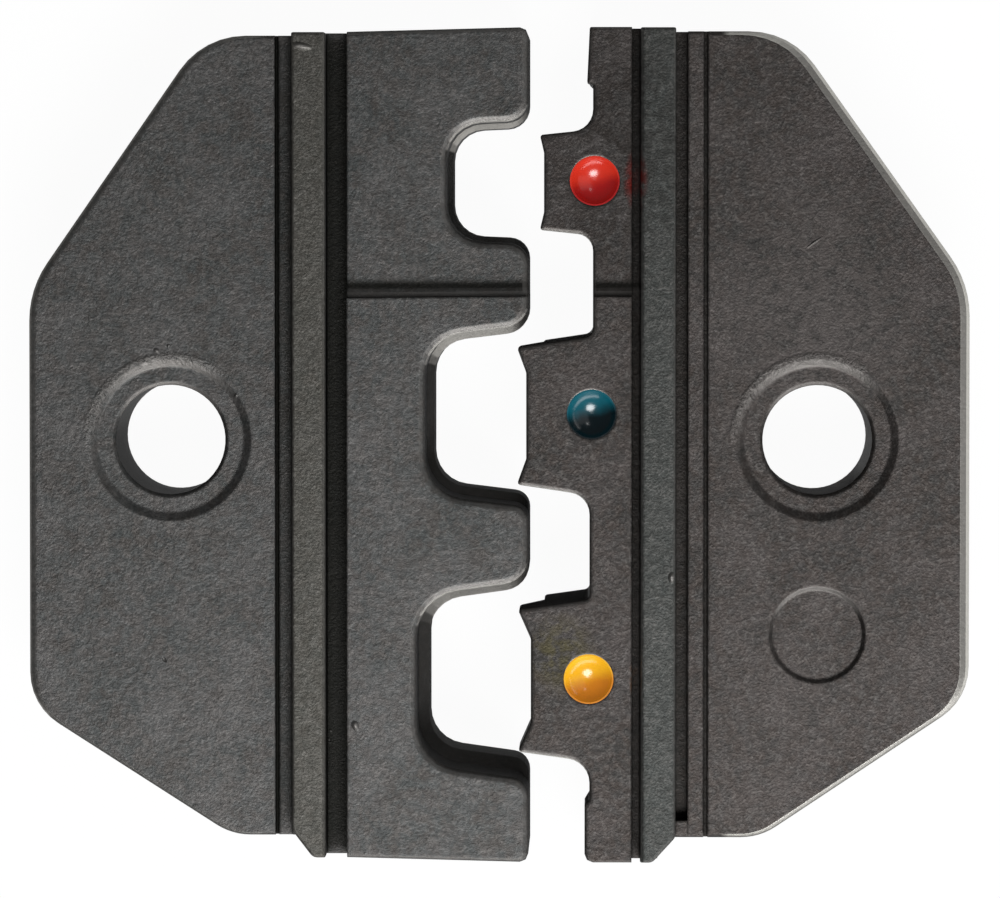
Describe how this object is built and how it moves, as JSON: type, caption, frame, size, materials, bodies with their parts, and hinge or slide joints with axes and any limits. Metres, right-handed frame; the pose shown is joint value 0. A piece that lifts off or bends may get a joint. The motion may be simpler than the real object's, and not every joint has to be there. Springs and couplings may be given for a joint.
{
  "type": "crimp die",
  "caption": "Matched nest and anvil crimp dies for insulated terminals, lying flat and facing each other, with stepped crimp stations marked by coloured enamel dots.",
  "frame": {"origin": "middle of the set's footprint, on the surface that the ribs' back faces rest on", "axes": "+X from the nest die to the anvil die, +Y along the crimp faces from the large yellow station to the small red one, +Z out of the front face that carries the enamel dots"},
  "size_m": [0.0446, 0.0396, 0.01],
  "materials": {
    "die_steel": "blackened, fine satin grain",
    "red_enamel": "glossy enamel",
    "blue_enamel": "glossy enamel",
    "yellow_enamel": "glossy enamel"
  },
  "bodies": {
    "nest_side": {"nest_die": "die_steel"},
    "anvil_side": {"anvil_die": "die_steel", "red_dot": "red_enamel", "blue_dot": "blue_enamel", "yellow_dot": "yellow_enamel"}
  },
  "joints": [
    {"name": "jaw_closing", "type": "slide", "parent": "nest_side", "child": "anvil_side", "axis": [-1, 0, 0], "range_m": [-0.006, 0.0026]}
  ]
}
